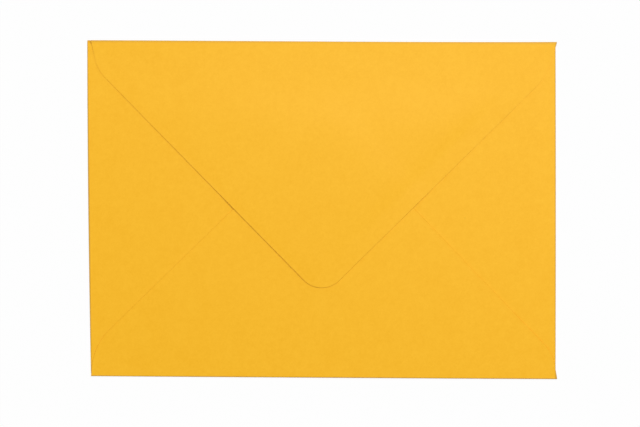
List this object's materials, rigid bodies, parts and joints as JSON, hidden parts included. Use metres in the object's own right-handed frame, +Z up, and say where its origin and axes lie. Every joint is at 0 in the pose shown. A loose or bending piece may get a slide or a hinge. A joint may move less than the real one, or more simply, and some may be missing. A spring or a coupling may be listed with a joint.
{
  "type": "paper envelope",
  "caption": "Closed rectangular card envelope of plain coloured paper, folded and glued from one sheet, with a pointed top flap over diagonal back seams.",
  "frame": {"origin": "under the middle of the envelope's box, on the surface that its front panel lies on", "axes": "+X along the folds at the foot and head, +Y from the foot to the head where the top flap is folded, +Z up, out of the back with the flaps"},
  "size_m": [0.1856, 0.1338, 0.0022],
  "materials": {
    "paper": "matte"
  },
  "bodies": {
    "root": {"envelope": "paper"}
  },
  "joints": []
}
